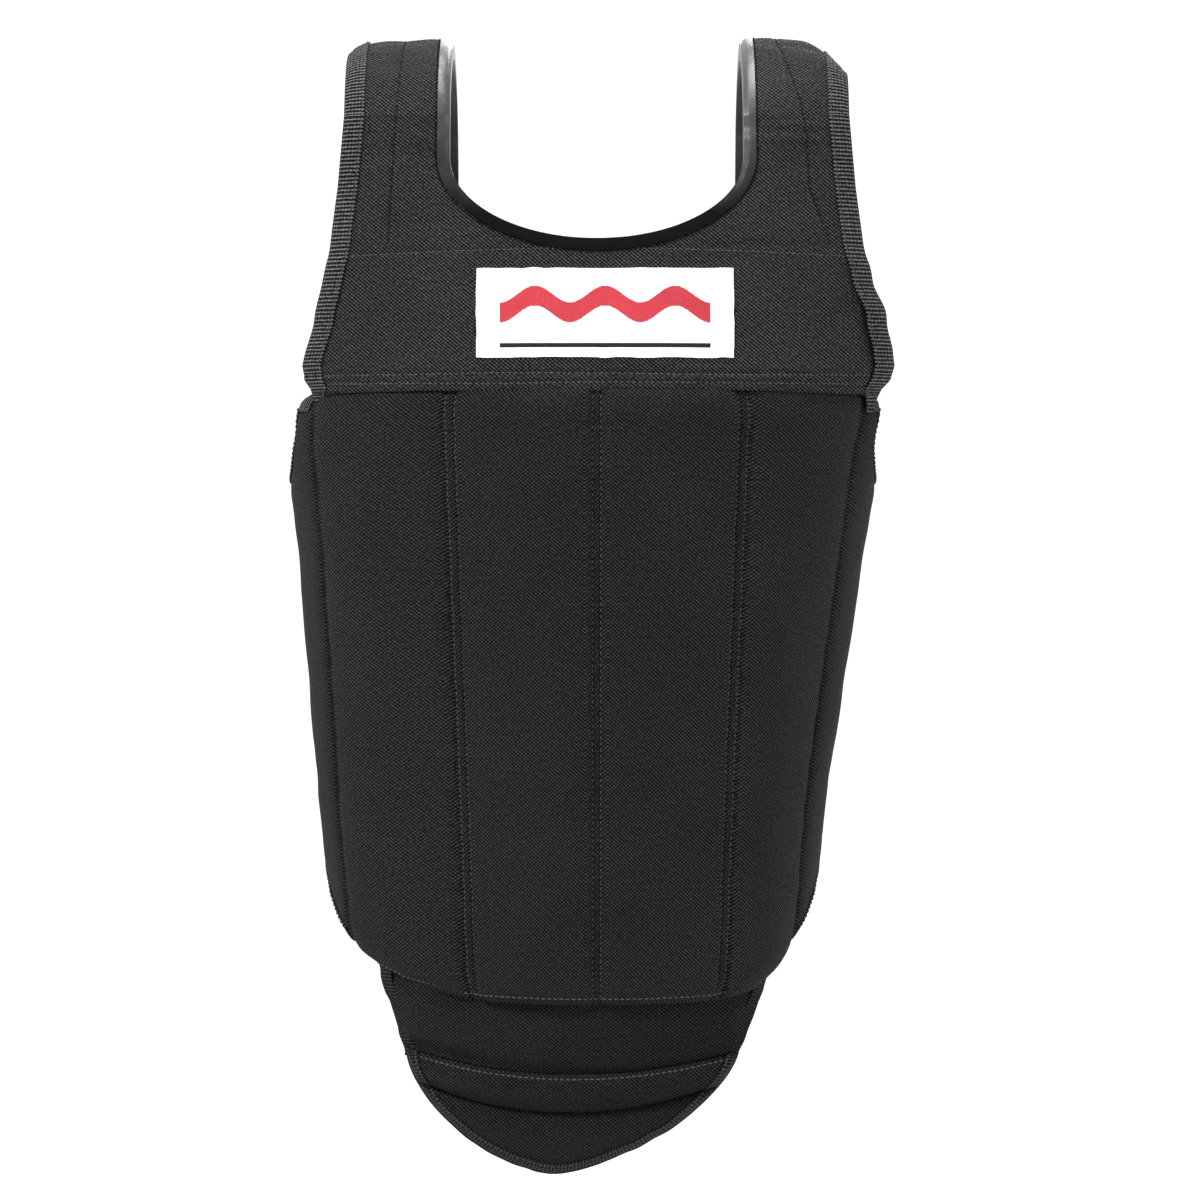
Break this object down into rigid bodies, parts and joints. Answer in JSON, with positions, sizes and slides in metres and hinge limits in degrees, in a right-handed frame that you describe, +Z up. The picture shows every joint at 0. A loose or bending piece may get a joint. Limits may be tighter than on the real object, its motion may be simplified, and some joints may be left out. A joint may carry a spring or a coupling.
{
  "type": "chest protector",
  "caption": "Padded sleeveless martial arts chest protector with foam channels, bound neckline and armholes, side wings, back closure bands and a folding groin flap.",
  "frame": {"origin": "midway between the crowns of the two shoulder straps, at the height of their undersides, where the vest hangs on the shoulders", "axes": "+Z up; the wearer faces -Y; +X is the wearer's left"},
  "size_m": [0.359, 0.2568, 0.6897],
  "materials": {
    "canvas": "coarse matt canvas",
    "lining": "smooth matt lining cloth",
    "foam": "closed-cell foam, matt",
    "smooth_binding": "smooth coated tape, satin",
    "webbing": "ribbed webbing",
    "elastic": "ribbed elastic",
    "hook_tape": "moulded hooks",
    "loop_tape": "brushed loops",
    "woven_patch": "woven label cloth"
  },
  "bodies": {
    "vest": {"back_yoke_cover": "canvas", "back_yoke_foam": "foam", "back_yoke_lining": "lining", "channel_foam_left_middle": "foam", "channel_foam_left_side": "foam", "channel_foam_right_middle": "foam", "channel_foam_right_side": "foam", "chest_patch": "woven_patch", "flex_band": "canvas", "front_cover": "canvas", "front_lining": "lining", "left_armhole_binding": "webbing", "left_strap_cover": "canvas", "left_strap_foam": "foam", "left_strap_lining": "lining", "loop_tape_lower": "loop_tape", "loop_tape_upper": "loop_tape", "neck_binding": "smooth_binding", "right_armhole_binding": "webbing", "right_band_lower": "elastic", "right_band_upper": "elastic", "right_strap_cover": "canvas", "right_strap_foam": "foam", "right_strap_lining": "lining", "right_wing_binding": "webbing", "right_wing_cover": "canvas", "right_wing_foam": "foam", "right_wing_lining": "lining", "spine_strap": "elastic", "yoke_cover": "canvas", "yoke_foam": "foam", "yoke_lining": "lining"},
    "flap": {"flap_cover": "canvas", "flap_lining": "lining", "flap_roll_foam_upper": "foam", "flap_roll_foam_lower": "foam", "flap_binding": "webbing"},
    "left_wing": {"left_wing_cover": "canvas", "left_wing_foam": "foam", "left_wing_lining": "lining", "left_wing_binding": "webbing"},
    "left_upper_band": {"left_band_upper": "elastic", "hook_tape_upper": "hook_tape"},
    "left_lower_band": {"left_band_lower": "elastic", "hook_tape_lower": "hook_tape"}
  },
  "joints": [
    {"name": "flap_fold", "type": "hinge", "parent": "vest", "child": "flap", "pos_m": [0, -0.065, -0.592], "axis": [-1, 0, 0], "range_deg": [0, 45], "deforming": ["flex_band"]},
    {"name": "left_wing_swing", "type": "hinge", "parent": "vest", "child": "left_wing", "pos_m": [0.16341, -0.04996, -0.204], "axis": [-0.0746, 0.0228, -0.997], "range_deg": [0, 40]},
    {"name": "left_upper_band_peel", "type": "hinge", "parent": "left_wing", "child": "left_upper_band", "pos_m": [0.13731, 0.05999, -0.31], "axis": [-0.0669, -0.0292, -0.9973], "range_deg": [0, 100]},
    {"name": "left_lower_band_peel", "type": "hinge", "parent": "left_wing", "child": "left_lower_band", "pos_m": [0.12893, 0.05633, -0.435], "axis": [-0.0669, -0.0292, -0.9973], "range_deg": [0, 100]}
  ]
}
